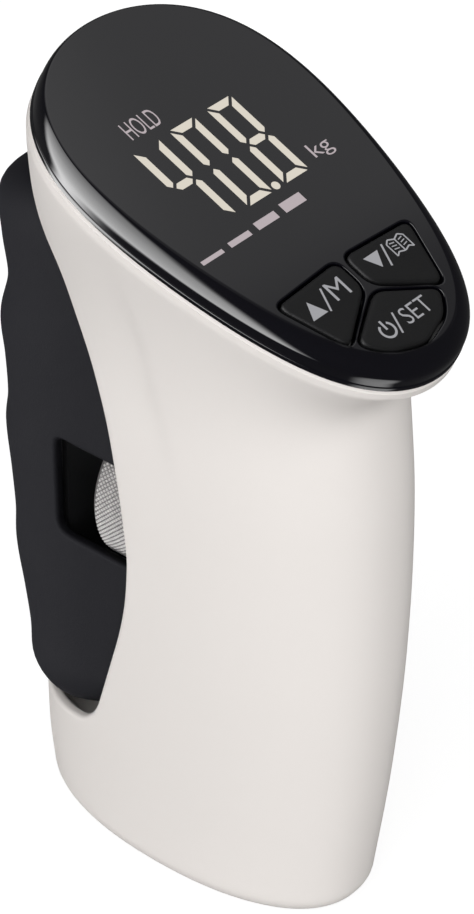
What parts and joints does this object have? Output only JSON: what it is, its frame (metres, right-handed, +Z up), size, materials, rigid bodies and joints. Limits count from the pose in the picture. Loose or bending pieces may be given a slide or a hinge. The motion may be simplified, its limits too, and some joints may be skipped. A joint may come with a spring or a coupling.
{
  "type": "hand dynamometer",
  "caption": "Hand grip strength meter with tilted egg-shaped display head, hollow palm column, sliding finger grip and knurled reach-setting wheel.",
  "frame": {"origin": "centre of the flat foot the meter stands on", "axes": "+Z up, +Y towards the fingers, -Y towards the palm, +X towards the display's right"},
  "size_m": [0.0514, 0.088, 0.1511],
  "materials": {
    "shell_white": "warm off-white satin moulded plastic",
    "grip_black": "fine-textured matte black plastic",
    "display_gloss": "smoked gloss black panel",
    "key_black": "matte black key caps",
    "frame_grey": "glass-filled moulded plastic",
    "knurled_steel": "bright knurled steel",
    "rod_steel": "ground steel",
    "zinc_plated": "zinc plated steel",
    "cell_aluminium": "machined aluminium",
    "bronze": "sintered bronze",
    "circuit_board": "green coated circuit board",
    "battery_wrap": "plain wrapped dry cell",
    "wire_red": "insulated wire"
  },
  "bodies": {
    "housing": {"main_shell": "shell_white", "foot_cover": "shell_white", "foot_screw_front": "zinc_plated", "foot_screw_rear": "zinc_plated", "display_cover": "display_gloss", "main_board": "circuit_board", "board_screw_1": "zinc_plated", "board_screw_2": "zinc_plated", "board_screw_3": "zinc_plated", "board_screw_4": "zinc_plated", "led_module": "key_black", "switch_up": "zinc_plated", "switch_down": "zinc_plated", "switch_power": "zinc_plated", "guide_bush_upper": "bronze", "guide_bush_left": "bronze", "guide_bush_right": "bronze", "inner_frame": "frame_grey", "frame_screw_1": "zinc_plated", "frame_screw_2": "zinc_plated", "frame_screw_3": "zinc_plated", "frame_screw_4": "zinc_plated", "load_cell": "cell_aluminium", "thrust_block": "zinc_plated", "cell_screw_fixed_1": "zinc_plated", "cell_screw_fixed_2": "zinc_plated", "cell_screw_free_1": "zinc_plated", "cell_screw_free_2": "zinc_plated", "battery_holder": "frame_grey", "battery_1": "battery_wrap", "battery_2": "battery_wrap", "contact_positive": "zinc_plated", "contact_negative": "zinc_plated", "contact_bridge": "zinc_plated", "battery_lead": "wire_red", "cell_lead": "wire_red"},
    "wheel": {"adjust_wheel": "knurled_steel", "thrust_washer": "bronze", "wheel_circlip": "zinc_plated"},
    "grip": {"grip_shell": "grip_black", "grip_core": "frame_grey", "grip_screw_1": "zinc_plated", "grip_screw_2": "zinc_plated", "grip_screw_3": "zinc_plated", "grip_screw_4": "zinc_plated", "adjust_screw": "rod_steel", "guide_rod_upper": "rod_steel", "guide_rod_left": "rod_steel", "guide_rod_right": "rod_steel"},
    "key_up": {"key_up": "key_black"},
    "key_down": {"key_down": "key_black"},
    "key_power": {"key_power": "key_black"}
  },
  "joints": [
    {"name": "wheel_turn", "type": "hinge", "parent": "housing", "child": "wheel", "pos_m": [0, 0.007, 0.071], "axis": [0, 1, 0], "range_deg": [-1010, 866]},
    {"name": "grip_slide", "type": "slide", "parent": "housing", "child": "grip", "axis": [0, 1, 0], "range_m": [-0.007, 0.006]},
    {"name": "key_up_press", "type": "slide", "parent": "housing", "child": "key_up", "axis": [0, 0.4067, -0.9135], "range_m": [0, 0.0006], "stiffness_N_per_m": 600},
    {"name": "key_down_press", "type": "slide", "parent": "housing", "child": "key_down", "axis": [0, 0.4067, -0.9135], "range_m": [0, 0.0006], "stiffness_N_per_m": 600},
    {"name": "key_power_press", "type": "slide", "parent": "housing", "child": "key_power", "axis": [0, 0.4067, -0.9135], "range_m": [0, 0.0006], "stiffness_N_per_m": 600}
  ],
  "couplings": [
    {"joint": "wheel_turn", "follows": "grip_slide", "rad_per_m": 2513.3}
  ]
}
